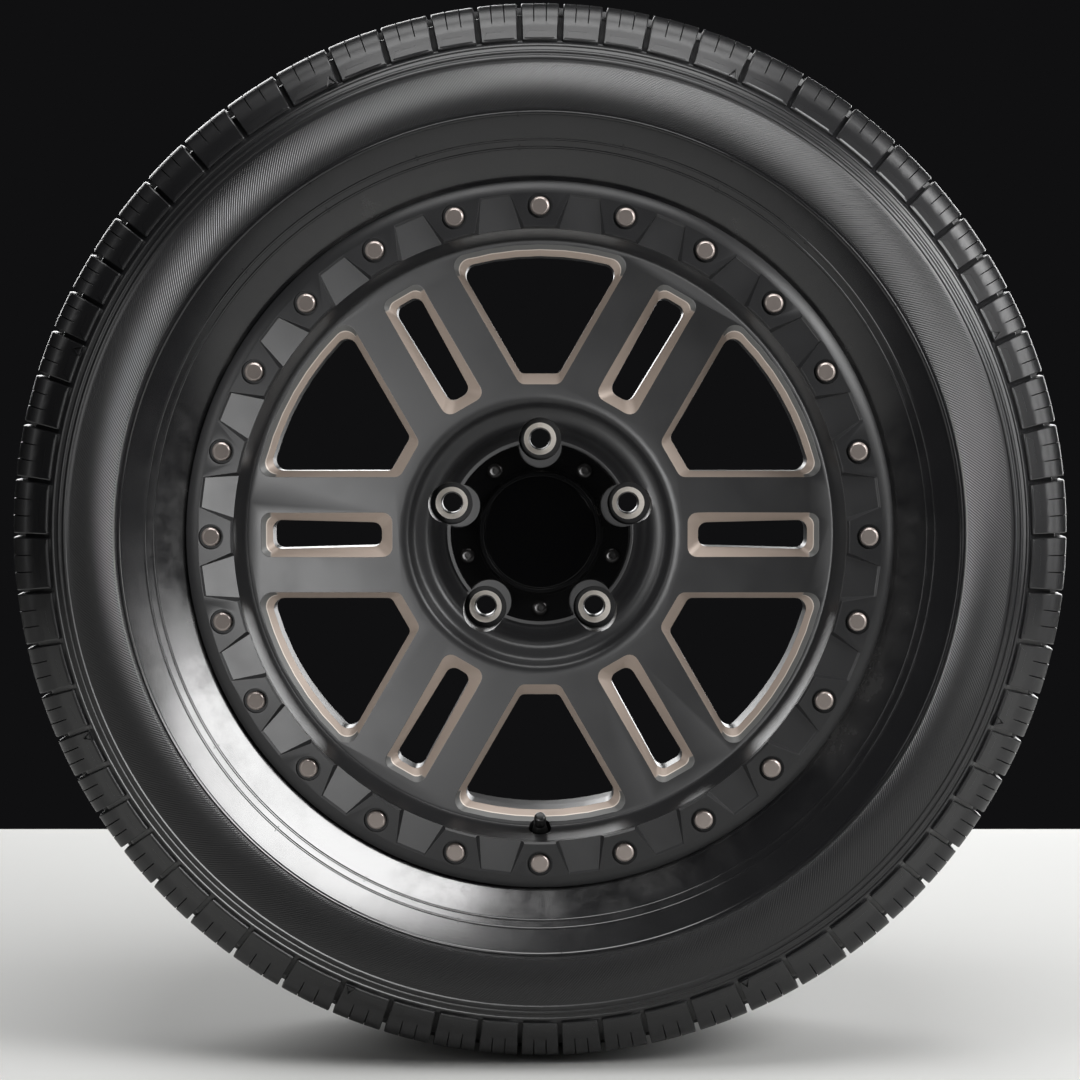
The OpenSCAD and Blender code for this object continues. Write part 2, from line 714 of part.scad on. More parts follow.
module cap_flange() color([0.05, 0.05, 0.055]) upright() difference() {
    turned([
        [disc_r - 4, pad_z - spigot_h],
        [spigot_d / 2, pad_z - spigot_h],
        [spigot_d / 2, pad_z],
        [cap_edge_r, pad_z],
        [cap_edge_r, cap_top - 0.8],
        [cap_edge_r - 0.8, cap_top],
        [collar_r + 1.2, cap_top],
        [collar_r, cap_top + 1.2],
        [collar_r - 0.6, collar_top - 1.2],
        [collar_r - 1.6, collar_top],
        [disc_r + 0.4, collar_top],
        [disc_r, collar_top - 0.4],
        [disc_r, disc_z],
        [disc_r - 4, disc_z]
    ]);
    ring_of(lug_count, 90) translate([lug_circle_r - scallop_in, 0, 0]) {
        translate([0, 0, pad_z - over]) cylinder(r = scallop_r, h = cap_flange_t + 2 * over, $fn = 64);
        translate([0, 0, cap_top - scallop_edge])
            cylinder(r1 = scallop_r - 0.01, r2 = scallop_r + scallop_edge, h = scallop_edge + 0.05, $fn = 64);
    }
    ring_of(lug_count, cap_screw_first) translate([cap_screw_circle_r, 0, 0]) {
        translate([0, 0, pad_z - over]) cylinder(d = cap_screw_d + 0.6, h = cap_flange_t + 2 * over, $fn = 24);
        translate([0, 0, screw_seat_z]) cylinder(d = cap_screw_head_d + 1.6, h = cap_screw_sink + over, $fn = 40);
    }
}
module cap_disc() color([0.03, 0.03, 0.035]) upright() turned([
    [0, disc_z],
    [disc_r - fit, disc_z],
    [disc_r - fit, disc_z + disc_t - 0.9],
    [disc_r - 0.9, disc_z + disc_t],
    [0, disc_z + disc_t]
]);
module cap_screws() color([0.06, 0.06, 0.06]) upright() ring_of(lug_count, cap_screw_first)
    translate([cap_screw_circle_r, 0, 0]) difference() {
        turned_small(concat(
            [[0, cap_top - cap_screw_len],
             [cap_screw_d / 2, cap_top - cap_screw_len],
             [cap_screw_d / 2, screw_seat_z],
             [cap_screw_head_d / 2, screw_seat_z]],
            bend([cap_screw_head_d / 2, screw_seat_z + cap_screw_edge],
                 [cap_screw_head_d / 2 - cap_screw_edge, screw_seat_z + cap_screw_head_h],
                 [socket_w * 0.75, screw_seat_z + cap_screw_head_h], 4),
            [[0, screw_seat_z + cap_screw_head_h]]
        ));
        translate([0, 0, screw_seat_z + cap_screw_head_h - socket_depth])
            cylinder(d = socket_w / cos(30), h = socket_depth + over, $fn = 6);
    }

// Valve, drawn along its own axis from the rim's surface
stem_r = stem_d / 2;
stem_low_r = stem_low_d / 2;
core_r = core_d / 2;
pin_r = pin_d / 2;
core_low_r = core_r - 0.4;
foot_h = 5;
chamber_z = stem_len - 18;
gasket_z = stem_len - 12;
cap_low_z = rubber_len + 0.9;
cap_in_z = stem_len + 0.9;
cap_r = valve_cap_d / 2;

module on_valve() {
    upright() at_valve() children();
}
module valve_rubber() color([0.05, 0.05, 0.05]) on_valve() turned_small([
    [stem_low_r, -valve_wall - foot_h],
    [valve_foot_d / 2 - 1.5, -valve_wall - foot_h],
    [valve_foot_d / 2, -valve_wall - foot_h + 1.5],
    [valve_foot_d / 2, -valve_wall],
    [valve_hole_d / 2, -valve_wall],
    [valve_hole_d / 2, 0],
    [rubber_d / 2 - 0.4, 0],
    [rubber_d / 2, 1.2],
    [rubber_d / 2, 5],
    [rubber_d / 2 - 0.8, 12],
    [stem_r + 1.2, rubber_len - 3],
    [stem_r + 0.6, rubber_len],
    [stem_low_r, rubber_len]
]);
module valve_tube() color([0.8, 0.65, 0.3]) on_valve() turned_small([
    [core_r - 0.9, -valve_wall - foot_h],
    [stem_low_r, -valve_wall - foot_h],
    [stem_low_r, rubber_len],
    [stem_r, rubber_len],
    [stem_r, stem_len - 0.5],
    [stem_r - 0.5, stem_len],
    [core_r + fit, stem_len],
    [core_r + fit, gasket_z + 5],
    [core_low_r + fit, gasket_z + 4],
    [core_low_r + fit, gasket_z],
    [core_low_r - 0.2, gasket_z - 1],
    [core_low_r - 0.2, chamber_z - 6],
    [core_r - 0.9, chamber_z - 8]
]);
module core_shell() color([0.78, 0.62, 0.3]) on_valve() turned_small([
    [pin_r + fit, gasket_z - 5],
    [core_low_r - 0.5, gasket_z - 5],
    [core_low_r - 0.5, gasket_z + 0.2],
    [core_low_r - 0.8, gasket_z + 0.2],
    [core_low_r - 0.8, gasket_z + 3],
    [core_low_r, gasket_z + 3],
    [core_low_r, gasket_z + 5.4],
    [core_r, gasket_z + 6],
    [core_r, stem_len - 1],
    [core_r - 0.5, stem_len - 0.4],
    [pin_r + fit, stem_len - 0.4],
    [pin_r + fit, stem_len - 2],
    [pin_r + 0.5, stem_len - 2],
    [pin_r + 0.5, gasket_z - 3],
    [pin_r + fit, gasket_z - 3]
]);
module core_gasket() color([0.75, 0.2, 0.15]) on_valve() turned_small([
    [core_low_r - 0.8, gasket_z + 0.2],
    [core_low_r - 0.3, gasket_z + 0.2],
    [core_low_r, gasket_z + 0.8],
    [core_low_r, gasket_z + 3],
    [core_low_r - 0.8, gasket_z + 3]
]);
module core_pin() color([0.8, 0.7, 0.4]) on_valve() turned_small([
    [0, gasket_z - 7],
    [pin_r + 0.9, gasket_z - 7],
    [pin_r + 0.9, gasket_z - 5],
    [pin_r, gasket_z - 5],
    [pin_r, stem_len - 3.2],
    [pin_r + 0.4, stem_len - 3],
    [pin_r + 0.4, stem_len - 2.2],
    [pin_r, stem_len - 2],
    [pin_r, stem_len + 0.2],
    [0, stem_len + 0.2]
]);

// Spring of the valve core: a round wire swept along a helix
spring_turns = 8;
spring_steps = 10;
wire_r = 0.14;
wire_sides = 6;
coil_r = pin_r + 0.3;
spring_low = gasket_z - 3 + wire_r;
spring_high = stem_len - 3.2 - wire_r;
module core_spring() color([0.6, 0.6, 0.62]) on_valve() {
    count = spring_turns * spring_steps;
    points = [
        for (i = [0 : count])
            let (a = 360 * i / spring_steps, z = spring_low + (spring_high - spring_low) * i / count)
                for (j = [0 : wire_sides - 1])
                    let (b = 360 * j / wire_sides, r = coil_r + wire_r * cos(b))
                        [r * cos(a), r * sin(a), z + wire_r * sin(b)]
    ];
    sides = [
        for (i = [0 : count - 1], j = [0 : wire_sides - 1])
            let (k = (j + 1) % wire_sides, p = i * wire_sides, q = p + wire_sides)
                each [[p + j, q + j, q + k], [p + j, q + k, p + k]]
    ];
    start_face = [for (j = [0 : wire_sides - 1]) j];
    end_face = [for (j = [wire_sides - 1 : -1 : 0]) count * wire_sides + j];
    polyhedron(points = points, faces = concat([start_face, end_face], sides));
}
module valve_cap() color([0.08, 0.08, 0.08]) on_valve() turned_small(concat(
    [[stem_r + 0.1, cap_low_z], [cap_r, cap_low_z], [cap_r, cap_in_z - 1.5]],
    bend([cap_r - 0.1, cap_in_z - 1], [cap_r - 0.5, cap_in_z + valve_cap_end],
         [cap_r - 2.6, cap_in_z + valve_cap_end], 5),
    [[0, cap_in_z + valve_cap_end], [0, cap_in_z], [stem_r + 0.1, cap_in_z]]
));
module cap_washer() color([0.15, 0.15, 0.15]) on_valve() turned_small([
    [pin_r + 1, stem_len + 0.05],
    [stem_r + 0.1, stem_len + 0.05],
    [stem_r + 0.1, cap_in_z],
    [pin_r + 1, cap_in_z]
]);

tyre();
wheel();
trim_ring();
ring_bolts();
cap_flange();
cap_disc();
cap_screws();
valve_rubber();
valve_tube();
core_shell();
core_gasket();
core_pin();
core_spring();
valve_cap();
cap_washer();
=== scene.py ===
# %% [markdown]
# # A mounted off-road wheel
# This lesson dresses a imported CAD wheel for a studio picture. The CAD model brings every
# part in its true place and size, in metres. The casting, the bolted ring, the cap and the
# valve keep those shapes and get rounded edges and real finishes. The tyre is made anew,
# because its blocks, sipes and ribs are finer than a CAD solid should carry.

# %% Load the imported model
import math

import bmesh
import bpy
import numpy as np
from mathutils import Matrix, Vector


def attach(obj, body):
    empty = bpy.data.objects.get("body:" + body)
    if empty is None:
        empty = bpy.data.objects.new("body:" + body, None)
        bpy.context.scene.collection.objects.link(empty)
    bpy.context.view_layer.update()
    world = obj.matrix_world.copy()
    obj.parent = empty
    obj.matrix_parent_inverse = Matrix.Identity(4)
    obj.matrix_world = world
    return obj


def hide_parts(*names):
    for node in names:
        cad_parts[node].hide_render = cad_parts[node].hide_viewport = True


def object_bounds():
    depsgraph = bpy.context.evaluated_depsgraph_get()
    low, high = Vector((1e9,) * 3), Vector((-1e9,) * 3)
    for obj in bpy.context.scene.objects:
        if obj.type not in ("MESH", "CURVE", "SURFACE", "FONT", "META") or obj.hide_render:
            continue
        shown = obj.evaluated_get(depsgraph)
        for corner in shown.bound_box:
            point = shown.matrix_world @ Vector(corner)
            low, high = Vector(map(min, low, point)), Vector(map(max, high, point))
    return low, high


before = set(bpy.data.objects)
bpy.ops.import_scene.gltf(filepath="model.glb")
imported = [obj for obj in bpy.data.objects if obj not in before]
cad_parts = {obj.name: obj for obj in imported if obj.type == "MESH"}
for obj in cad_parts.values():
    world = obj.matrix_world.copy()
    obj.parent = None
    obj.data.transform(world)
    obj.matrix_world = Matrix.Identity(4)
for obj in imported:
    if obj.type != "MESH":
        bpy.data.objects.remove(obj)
cad_low, cad_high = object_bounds()
MM = 0.001
print("CAD box", [round(v, 4) for v in cad_low], [round(v, 4) for v in cad_high])

# %% [markdown]
# ## Colour and nodes
# Colours are written as sRGB hex, the way a picker shows them, but Blender's shaders
# calculate in linear light, so one function converts. Materials are built from nodes, and
# one small function adds a node with its settings and its links.


# %% Two small helpers
def linear(hex_colour):
    """Linear RGBA from an sRGB hex colour such as '#8a7f78'."""
    values = [int(hex_colour[i:i + 2], 16) / 255 for i in (1, 3, 5)]
    return [v / 12.92 if v <= 0.04045 else ((v + 0.055) / 1.055) ** 2.4 for v in values] + [1.0]


def add(tree, kind, inputs=None, **settings):
    """Adds a node; an input takes a value, or a socket that it is linked to."""
    made = tree.nodes.new("ShaderNode" + kind)
    for name, value in settings.items():
        setattr(made, name, value)
    for name, value in (inputs or {}).items():
        if isinstance(value, bpy.types.NodeSocket):
            tree.links.new(value, made.inputs[name])
        else:
            made.inputs[name].default_value = value
    return made


def start_material(name, colour, metallic, roughness):
    """A material with its own shader and a flat start; the caller adds what varies."""
    material = bpy.data.materials.new(name)
    material.use_nodes = True
    shader = material.node_tree.nodes["Principled BSDF"]
    shader.inputs["Base Color"].default_value = linear(colour)
    shader.inputs["Metallic"].default_value = metallic
    shader.inputs["Roughness"].default_value = roughness
    material.diffuse_color = linear(colour)
    return material, material.node_tree, shader


# %% [markdown]
# ## The tyre's section
# A tyre is moulded as one body of rubber, so it is one mesh here. Its section is drawn in
# millimetres as radius and distance from the middle of the tread. The crown is a shallow
# arc and each sidewall swells to its widest place, as the CAD solid does. Below that place
# it turns quickly and then falls to the rim almost straight, so one lamp fills the whole
# foot of the sidewall with a single broad streak.

# %% Crown and sidewall lines
TYRE_R = 419.0
CROWN_R = 900.0
RIM_R = 254.0
FLANGE_R = 271.3
HALF_RIM = 114.3
FOOT_R, FOOT_Z = 380.5, 128.0
BULGE_R, BULGE_Z = 338.03, 142.0
LEAVE_R, LEAVE_Z = 269.9, 116.9
KNEE = 0.2
BLOCKS = 66
INNER_GROOVE, OUTER_GROOVE = 21.0, 64.0
GROOVE_DEPTH = 9.0
GROOVE_HALF_TOP, GROOVE_HALF_FLOOR = 4.75, 3.15
SLOT_W, RIB_SLOT_W = 3.6, 2.6
SLANT_ANGLE = math.radians(24)
SLANT = math.tan(SLANT_ANGLE)
SIPE_DEPTH, SHORT_SIPE_DEPTH, RIB_SIPE_DEPTH = 2.2, 1.2, 1.8
EDGE_STEP, EDGE_DROP = 0.65, 0.5
BORDER_RIBS = (377.0, 371.5)
BAND_TOP_R, FOOT_RIB_R = 366.8, 324.0
RIB_RADII = (305.0, 299.0)


def crown(z):
    """Radius of the tread at a distance from its middle."""
    return TYRE_R - CROWN_R + math.sqrt(CROWN_R ** 2 - z * z)


def side(r):
    """Distance of the sidewall's surface from the middle at a radius."""
    if r > BULGE_R:
        return BULGE_Z - (BULGE_Z - FOOT_Z) * ((r - BULGE_R) / (FOOT_R - BULGE_R)) ** 2
    share = (BULGE_R - r) / (BULGE_R - LEAVE_R)
    past = max(share - KNEE, 0.0)
    near = min(share, KNEE)
    return BULGE_Z - (BULGE_Z - LEAVE_Z) * (2.3 * near ** 2 + 0.92 * past + 0.26875 * past ** 2)


def bend(start, corner, end, count):
    """Points of a curve that leaves start towards corner and arrives at end."""
    points = []
    for i in range(count + 1):
        t = i / count
        points.append([start[k] * (1 - t) ** 2 + corner[k] * 2 * t * (1 - t) + end[k] * t * t
                       for k in (0, 1)])
    return points


print("tread edge", round(crown(108), 2), "widest", BULGE_Z, "at radius", BULGE_R)

# %% [markdown]
# ## Rows and columns of the tread
# The tread and its shoulders are one grid: rows run round the tyre, columns run across it.
# Each pitch, from slot to slot, has thirteen columns: the slot's floor and lip, a trio for
# each of two sipes, and one in the middle. A row says where its surface is, how deep its
# slot and sipes are and how far its columns lean, so the slants need no extra cuts.
# A Boolean could cut the slots too, but it leaves long thin faces that shade badly.


# %% A row of the tread
def row(r, z, floor=None, slot_w=SLOT_W, sipe=0.0, lean=0.0, drop=0.0, lift=0.0, trio=(0.35, 0.65),
        split=0.45, lip=0.5):
    """One row: surface point, slot floor point and what its columns do there, in mm."""
    return {"p": (r, z), "floor": floor or (r, z), "slot_w": slot_w, "sipe": sipe, "lean": lean,
            "drop": drop, "lift": lift, "trio": trio, "split": split, "lip": lip if floor else 0.0}


def along(line, share):
    """The point at a share of a bent line's length."""
    steps = [math.dist(a, b) for a, b in zip(line, line[1:])]
    left = share * sum(steps)
    for a, b, step in zip(line, line[1:], steps):
        if left <= step or b is line[-1]:
            t = left / step
            return (a[0] + (b[0] - a[0]) * t, a[1] + (b[1] - a[1]) * t)
        left -= step


SIPE_FULL_R, SIPE_END_R = 401, 398.5
PANEL_TOP_R, PANEL_FOOT_R = 388.5, 382.4
PANEL_LIFT, PANEL_SPLIT = 0.55, 0.35


def shoulder_rows():
    """Rows from the outer groove over the shoulder to the foot of its blocks.

    Near its foot each block carries a raised panel, narrow at the top and wide at the foot."""
    line = [(crown(68.75), 68.75), (crown(69.4), 69.4), (crown(80), 80), (crown(90), 90)]
    line += bend((crown(98), 98), (crown(108) - 1, 112), (396.75, 116.77), 7)
    line += [(393.2, 119.75), (390.4, 122.1), (388.7, 123.55), (388.1, 124.05), (386.0, 125.8),
             (384.2, 127.3), (382.6, 128.65), (381.9, 129.2), (381.2, 129.45), (380.4, 128.9),
             (380.0, 128.1)]
    floor_line = [(409.2, 68.75), (404.0, 100.0), (383.5, 123.0), (380.2, 128.0)]
    total = sum(math.dist(a, b) for a, b in zip(line, line[1:]))
    rows, gone = [], 0.0
    for i, point in enumerate(line):
        if i:
            gone += math.dist(line[i - 1], point)
        r = point[0]
        made = row(*point, floor=along(floor_line, min(gone / total, 1.0)))
        if i > 1 and r > SIPE_END_R:
            made["sipe"] = SIPE_DEPTH if r > SIPE_FULL_R else SHORT_SIPE_DEPTH
        if i == 0:
            made["drop"] = EDGE_DROP
        if PANEL_FOOT_R < r < PANEL_TOP_R:
            height = (r - 382.0) / 6.1
            made["trio"] = (0.13 + 0.22 * height ** 1.4, 0.90 - 0.10 * height)
            made["lift"] = PANEL_LIFT
            made["split"] = PANEL_SPLIT
        if PANEL_TOP_R < r < PANEL_TOP_R + 0.5:
            made["trio"] = (0.36, 0.80)
            made["split"] = PANEL_SPLIT
        if PANEL_FOOT_R - 0.9 < r < PANEL_FOOT_R:
            made["trio"] = (0.13, 0.90)
            made["split"] = PANEL_SPLIT
        if r < 380.2:
            made["floor"] = point
            made["lip"] = 0.0
        rows.append(made)
    return rows


RIB_SLOT_DEPTH = 5.2
NOTCH_DEPTH, NOTCH_W, NOTCH_LENGTH = 4.0, 2.4, 6.8
RIB_TRIO = (0.36, 0.66)


def rib_rows(edges, skew, slots):
    """Rows of a rib between two grooves; slots cross it, or else short notches enter its edges."""
    high, low = edges
    width = high - low
    rows = []
    for z in (high, high - EDGE_STEP, high - width * 0.2, high - width * 0.4, (high + low) / 2,
              low + width * 0.4, low + width * 0.2, low + EDGE_STEP, low):
        from_edge = min(high - z, z - low)
        depth = RIB_SLOT_DEPTH if slots else NOTCH_DEPTH if from_edge < NOTCH_LENGTH else 0.0
        rows.append(row(crown(z), z, slot_w=RIB_SLOT_W / math.cos(SLANT_ANGLE) if slots else NOTCH_W,
                        floor=(crown(z) - depth, z) if depth else None,
                        sipe=RIB_SIPE_DEPTH if from_edge > 0.8 else 0.0, lean=skew(z),
                        drop=EDGE_DROP if z in edges else 0.0, trio=RIB_TRIO))
    return rows


def groove_rows(middle, leans):
    """The two rows at the bottom of a groove that runs round the tyre."""
    depth_r = crown(middle) - GROOVE_DEPTH
    return [row(depth_r, middle + GROOVE_HALF_FLOOR, lean=leans[0]),
            row(depth_r, middle - GROOVE_HALF_FLOOR, lean=leans[1])]


# %% All rows, from one foot over the tread to the other
LEAN_R = 410
HALF_PITCH = math.radians(180 / BLOCKS) * LEAN_R
RIB_EDGES = (OUTER_GROOVE - GROOVE_HALF_TOP, INNER_GROOVE + GROOVE_HALF_TOP)
RIB_MIDDLE = sum(RIB_EDGES) / 2
RIB_HALF = RIB_EDGES[0] - RIB_MIDDLE
CENTRE_EDGE = INNER_GROOVE - GROOVE_HALF_TOP


def mid_skew(middle):
    """How far a slanted slot has leant at a distance z, as a function of z."""
    return lambda z: -SLANT * (z - middle)


outer = shoulder_rows()
inner = shoulder_rows()
for made in inner:
    made["p"] = (made["p"][0], -made["p"][1])
    made["floor"] = (made["floor"][0], -made["floor"][1])
    made["lean"] = HALF_PITCH
tread_rows = outer[::-1]
tread_rows += groove_rows(OUTER_GROOVE, (0.0, -SLANT * RIB_HALF))
tread_rows += rib_rows(RIB_EDGES, mid_skew(RIB_MIDDLE), slots=True)
tread_rows += groove_rows(INNER_GROOVE, (SLANT * 10, SLANT * 3))
tread_rows += rib_rows((CENTRE_EDGE, -CENTRE_EDGE), lambda z: 0.0, slots=False)
tread_rows += groove_rows(-INNER_GROOVE, (-SLANT * 3, -SLANT * 10))
tread_rows += rib_rows((-RIB_EDGES[1], -RIB_EDGES[0]), mid_skew(-RIB_MIDDLE), slots=True)
tread_rows += groove_rows(-OUTER_GROOVE, (SLANT * 18, HALF_PITCH * 0.8))
tread_rows += inner
print(len(tread_rows), "rows over the tread")

# %% [markdown]
# ## Columns round the tyre
# The slots stand at slightly changing distances, long and short blocks by turns, which
# spreads the hum of the tread over many tones. The photo shows it round the shoulder.

# %% Places of all columns in one row
PITCH_WAVES = 6
PITCH_SWING = 0.16 / PITCH_WAVES
slot_angle = np.array([2 * math.pi * i / BLOCKS
                       + PITCH_SWING * math.sin(2 * math.pi * PITCH_WAVES * i / BLOCKS)
                       for i in range(BLOCKS + 1)])
slot_angle[-1] = slot_angle[0] + 2 * math.pi
COLUMNS = 13
SLOT_TAPER, EDGE_BAND = 0.15, 0.8


def place_row(made, normal):
    """Radius, height and angle of every vertex of a row."""
    r, z = made["p"]
    half = made["slot_w"] / 2
    split, lift, sipe, lip = made["split"], made["lift"], made["sipe"], made["lip"]
    raised = (r + normal[0] * lift, z + normal[1] * lift)
    face = (r - made["drop"], z)
    low = (face[0] - normal[0] * lip, face[1] - normal[1] * lip)
    sunk = (face[0] - normal[0] * sipe, face[1] - normal[1] * sipe)
    floor = made["floor"]
    if lift:
        points = [floor, low, face, face, face, raised, raised, raised, face, face, face, low, floor]
    else:
        points = [floor, low, face, face, sunk, face, face, face, sunk, face, face, low, floor]
    left, right = slot_angle[:-1], slot_angle[1:]
    a = left + made["trio"][0] * (right - left)
    b = left + made["trio"][1] * (right - left)
    spots = [left + (half - SLOT_TAPER) / r, left + half / r, left + (half + EDGE_BAND) / r,
             a - split / r, a, a + split / r, (a + b) / 2,
             b - split / r, b, b + split / r,
             right - (half + EDGE_BAND) / r, right - half / r, right - (half - SLOT_TAPER) / r]
    angle = np.stack(spots, 1) + made["lean"] / r
    radius = np.tile([p[0] for p in points], (BLOCKS, 1))
    height = np.tile([p[1] for p in points], (BLOCKS, 1))
    return radius.ravel(), height.ravel(), angle.ravel()


# %% [markdown]
# ## Sidewalls, beads and liner
# Below the blocks nothing changes quickly round the tyre, so four columns a pitch are
# enough. The border ribs and the fine ribs are rounded, as they come out of the mould.


# %% The line from the foot of the blocks down to the rim
BORDER_SIZE, BAND_SIZE, FINE_SIZE = (2.6, 1.0), (3.4, 1.0), (1.7, 0.7)


def rib_line(r, width, height):
    """Points over a rounded rib that stands on the sidewall at a radius."""
    return [(r + width * s, side(r + width * s) + height * t)
            for s, t in ((0.6, 0), (0.32, 0.8), (0, 1), (-0.32, 0.8), (-0.6, 0))]


def side_line(detailed):
    """The sidewall with its border ribs; the detailed side has the two fine ribs too."""
    line = rib_line(BORDER_RIBS[0], *BORDER_SIZE) + rib_line(BORDER_RIBS[1], *BORDER_SIZE)
    line += rib_line(BAND_TOP_R, *BAND_SIZE)
    line += [(r, side(r)) for r in (362, 356, 350, 344, 338, 332, 327.5)]
    line += rib_line(FOOT_RIB_R, *BORDER_SIZE)
    line += [(r, side(r)) for r in (319, 312)]
    if detailed:
        line += rib_line(RIB_RADII[0], *FINE_SIZE) + rib_line(RIB_RADII[1], *FINE_SIZE)
    line += [(r, side(r)) for r in (294, 289, 284, 279, 275, 271.5, LEAVE_R)]
    return line


SEAT_ANGLE = math.radians(5)


def seat(w):
    """Radius of the bead's tapered seat at a distance from the rim's flange."""
    return RIM_R - (w - 6.5) * math.tan(SEAT_ANGLE)


bead = [(FLANGE_R - 9.5, HALF_RIM), (260.5, HALF_RIM), (257.2, 113.4), (254.9, 110.9), (RIM_R, 107.8),
        (seat(18.5), HALF_RIM - 18.5), (seat(18.5) + 3.5, HALF_RIM - 20.7), (270.0, HALF_RIM - 18.5),
        (290.0, HALF_RIM - 4)]
LINER_R, WALL = 399, 9.5
liner = [(r, side(r) - WALL) for r in (304, 338, 372.5)] + [(390, 104), (397, 86), (LINER_R, 64)]
outer_down = side_line(True) + bead + liner
inner_down = side_line(False) + bead + liner
loop = [(r, -z) for r, z in inner_down] + [(LINER_R, 0)] + outer_down[::-1]
print(len(loop), "rows below the blocks")

# %% Put the vertices together and close the loop
verts, ranges = [], []


def put(radius, height, angle):
    """Adds a row of vertices and notes where it starts."""
    first = sum(len(v) for v in verts)
    verts.append(np.stack([radius * np.cos(angle), -height, radius * np.sin(angle)], 1) * MM)
    ranges.append((first, len(radius)))


line = [made["p"] for made in tread_rows]
for i, made in enumerate(tread_rows):
    a, b = line[max(i - 1, 0)], line[min(i + 1, len(line) - 1)]
    length = math.dist(a, b)
    put(*place_row(made, ((a[1] - b[1]) / length, (b[0] - a[0]) / length)))
KEPT = (2, 5, 7, 10)
first_row = place_row(dict(tread_rows[0], sipe=0.0), (1, 0))[2].reshape(BLOCKS, COLUMNS)
last_row = place_row(dict(tread_rows[-1], sipe=0.0), (1, 0))[2].reshape(BLOCKS, COLUMNS)
start, end = last_row[:, KEPT].ravel(), first_row[:, KEPT].ravel()
for i, (r, z) in enumerate(loop):
    share = i / (len(loop) - 1)
    put(np.full(len(start), r), np.full(len(start), z), start + (end - start) * share)

faces = []
for (a, n), (b, _) in zip(ranges[:len(tread_rows)], ranges[1:len(tread_rows)]):
    faces += [(a + i, a + (i + 1) % n, b + (i + 1) % n, b + i) for i in range(n)]
for (a, n), (b, _) in zip(ranges[len(tread_rows):], ranges[len(tread_rows) + 1:]):
    faces += [(a + i, a + (i + 1) % n, b + (i + 1) % n, b + i) for i in range(n)]


def stitch(dense_start, coarse_start, dense_first):
    """Faces between a dense row and a coarse one: each takes in all dense vertices over it."""
    n = BLOCKS * COLUMNS
    kept = [block * COLUMNS + k for block in range(BLOCKS) for k in KEPT]
    for i, k in enumerate(kept):
        stop = kept[(i + 1) % len(kept)]
        upper = [dense_start + (k + j) % n for j in range((stop - k) % n + 1)]
        lower = [coarse_start + i, coarse_start + (i + 1) % len(kept)]
        faces.append(tuple(upper + lower[::-1]) if dense_first else tuple(lower + upper[::-1]))


stitch(ranges[len(tread_rows) - 1][0], ranges[len(tread_rows)][0], True)
stitch(ranges[0][0], ranges[-1][0], False)

# %% [markdown]
# ## Marks from the mould
# The mould lets its air out through small channels, and rubber that follows it stays as
# short ticks across the ribs. Small triangles at the foot of a few blocks point to the wear
# bars in the grooves. Both are made of bars under two millimetres wide, set in the rubber's skin.


# %% Vent ticks and wear triangles
TICKS = 12
TICK_HALF = 2.1
TRIANGLES = 8
TRIANGLE_SHIFT = 6.5
TRIANGLE_FOOT_R, TRIANGLE_TIP_R, TRIANGLE_HALF_W = 381.4, 389, 3.6


def skin_height(r):
    """Distance of the outer skin from the tyre's middle, also over the foot of the blocks."""
    return side(r) if r < 380 else 129.4 - 0.83 * max(r - 381.5, 0.0)


def bar(start, end, turn, width=1.5, rise=1.1, root=0.6):
    """A bar with a narrow crest between two points, given as radius and distance round, in mm."""
    across = (end[1] - start[1], start[0] - end[0])
    length = math.hypot(*across)
    first = sum(len(v) for v in verts)
    for lift, half in ((-root, width / 2), (rise, width / 8)):
        dr, dt = (v * half / length for v in across)
        corners = [(start[0] - dr, start[1] - dt), (start[0] + dr, start[1] + dt),
                   (end[0] + dr, end[1] + dt), (end[0] - dr, end[1] - dt)]
        put(np.array([r for r, _ in corners]), np.array([skin_height(r) + lift for r, _ in corners]),
            np.array([turn + t / r for r, t in corners]))
    faces.append(tuple(first + k for k in (3, 2, 1, 0)))
    faces.append(tuple(first + k for k in (4, 5, 6, 7)))
    faces.extend((first + k, first + (k + 1) % 4, first + 4 + (k + 1) % 4, first + 4 + k) for k in range(4))


for step in range(TICKS):
    turned = 360 / TICKS * step
    for r, offset in zip(RIB_RADII, (18, 33)):
        bar((r - TICK_HALF, 0), (r + TICK_HALF, 0), math.radians(turned + offset))
    bar((FOOT_RIB_R - 2.4, 0), (FOOT_RIB_R + 2.0, 0), math.radians(turned + 33), rise=1.3)
left_foot, right_foot = (TRIANGLE_FOOT_R, -TRIANGLE_HALF_W), (TRIANGLE_FOOT_R, TRIANGLE_HALF_W)
tip = (TRIANGLE_TIP_R, 0)
for step in range(TRIANGLES):
    turn = slot_angle[round(BLOCKS * (step + 0.5) / TRIANGLES)] + TRIANGLE_SHIFT / 382
    for bar_start, bar_end in ((left_foot, tip), (tip, right_foot), (right_foot, left_foot)):
        bar(bar_start, bar_end, turn, width=1.8, rise=1.7)
print(len(faces), "faces in the tyre")
mesh = bpy.data.meshes.new("tyre_rubber")
mesh.from_pydata(np.vstack(verts).tolist(), [], faces)
mesh.validate()
tyre = bpy.data.objects.new("tyre_rubber", mesh)
bpy.context.scene.collection.objects.link(tyre)
check = bmesh.new()
check.from_mesh(mesh)
bmesh.ops.recalc_face_normals(check, faces=check.faces)
print("open edges", sum(1 for e in check.edges if len(e.link_faces) != 2), "volume mm3",
      round(check.calc_volume() * 1e9), "triangles", sum(len(f.verts) - 2 for f in check.faces))
check.to_mesh(mesh)
check.free()
mesh.shade_smooth()
mesh.set_sharp_from_angle(angle=math.radians(26))
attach(tyre, "wheel_body")
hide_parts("tyre")

